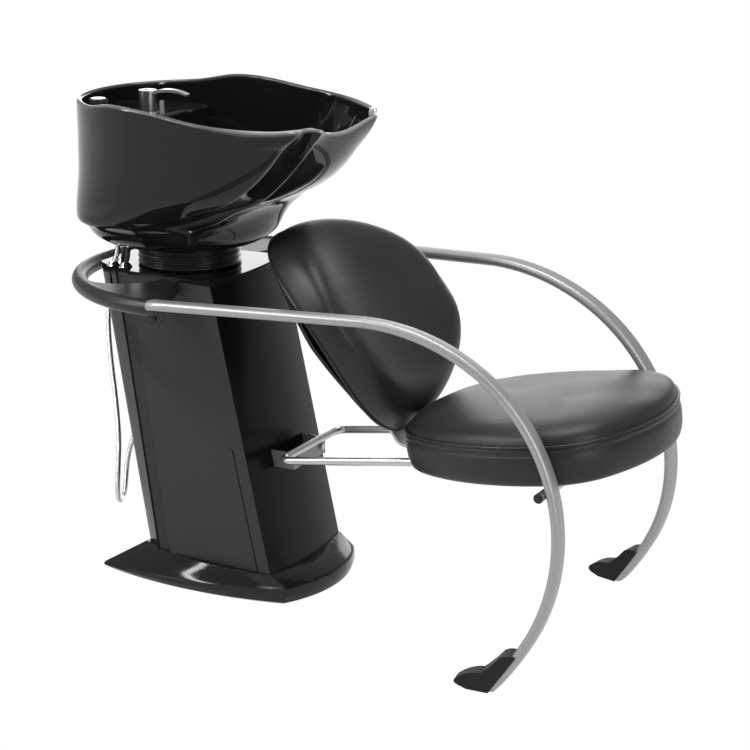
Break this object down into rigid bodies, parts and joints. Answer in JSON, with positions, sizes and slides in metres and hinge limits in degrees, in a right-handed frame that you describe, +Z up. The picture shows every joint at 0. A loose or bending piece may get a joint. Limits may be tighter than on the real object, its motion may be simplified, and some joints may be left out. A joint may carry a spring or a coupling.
{
  "type": "hair washing bed",
  "caption": "Salon backwash unit: black tilting basin on a pedestal, round seat and backrest hung between two bent metal side tubes.",
  "frame": {"origin": "on the floor, on the mid-plane, straight below the middle of the ribbed neck sleeve", "axes": "+X towards the client's feet, +Y towards the client's left, +Z up"},
  "size_m": [1.2541, 0.6642, 0.9891],
  "materials": {
    "black_shell": "gloss",
    "black_basin": "gloss",
    "black_upholstery": "satin",
    "black_rubber": "matte",
    "black_hose": "satin",
    "grey_plastic": "gloss",
    "chrome": "polished",
    "satin_metal": "satin",
    "black_satin": "satin",
    "steel": "satin",
    "board": "matte",
    "waste_plastic": "matte"
  },
  "bodies": {
    "frame": {"backrest_bracket": "steel", "backrest_cushion": "black_upholstery", "backrest_shell": "black_shell", "base_skirt": "black_shell", "cold_ferrule": "chrome", "crossbar_bolt_left": "chrome", "crossbar_bolt_right": "chrome", "floor_plate": "steel", "foot_shoe_left": "black_rubber", "foot_shoe_right": "black_rubber", "hose_outlet_high": "black_rubber", "hose_outlet_low": "black_rubber", "hot_ferrule": "chrome", "neck_sleeve": "black_rubber", "pedestal_cap": "black_shell", "pedestal_post": "steel", "pedestal_shell": "black_shell", "rear_yoke": "black_satin", "seat_board": "board", "seat_crossbar": "satin_metal", "seat_cushion": "black_upholstery", "seat_saddle_left": "steel", "seat_saddle_right": "steel", "shower_ferrule": "chrome", "shower_hose_loop": "chrome", "shower_hose_upper": "chrome", "side_tube_left": "satin_metal", "side_tube_right": "satin_metal", "supply_hose_cold": "black_hose", "supply_hose_hot": "black_hose", "supply_pipe_cold": "steel", "supply_pipe_hot": "steel", "tilt_base": "steel", "tilt_pin_left": "steel", "tilt_pin_right": "steel", "u_bolt_left": "steel", "u_bolt_right": "steel", "u_channel": "steel", "u_tube": "satin_metal", "waste_hose": "black_hose", "waste_pipe": "waste_plastic", "yoke_screw_left": "steel", "yoke_screw_right": "steel"},
    "bowl": {"bowl": "black_basin", "tilt_head": "steel", "drain_body": "chrome", "mixer_body": "chrome", "mixer_nut": "steel", "shower_gland": "grey_plastic", "hot_gland": "grey_plastic", "cold_gland": "grey_plastic", "spray_holder": "grey_plastic"},
    "strainer": {"drain_strainer": "chrome"},
    "mixer_cap": {"mixer_cap": "chrome", "lever_pin": "chrome"},
    "mixer_lever": {"mixer_lever": "chrome"},
    "handset": {"shower_handset": "grey_plastic", "spray_face": "chrome"}
  },
  "joints": [
    {"name": "bowl_tilt", "type": "hinge", "parent": "frame", "child": "bowl", "pos_m": [0, 0, 0.664], "axis": [0, 1, 0], "range_deg": [-10, 5], "deforming": ["neck_sleeve", "shower_hose_upper", "supply_hose_hot", "supply_hose_cold", "waste_hose"]},
    {"name": "mixer_swivel", "type": "hinge", "parent": "bowl", "child": "mixer_cap", "pos_m": [-0.106, 0.022, 0.9616], "axis": [0, 0, 1], "range_deg": [-45, 45]},
    {"name": "lever_lift", "type": "hinge", "parent": "mixer_cap", "child": "mixer_lever", "pos_m": [-0.106, 0.022, 0.9724], "axis": [0, -1, 0], "range_deg": [0, 25]},
    {"name": "handset_pull", "type": "slide", "parent": "bowl", "child": "handset", "axis": [0, 0, 1], "range_m": [0, 0.08]},
    {"name": "strainer_lift", "type": "slide", "parent": "bowl", "child": "strainer", "axis": [0, 0, 1], "range_m": [0, 0.03]}
  ]
}
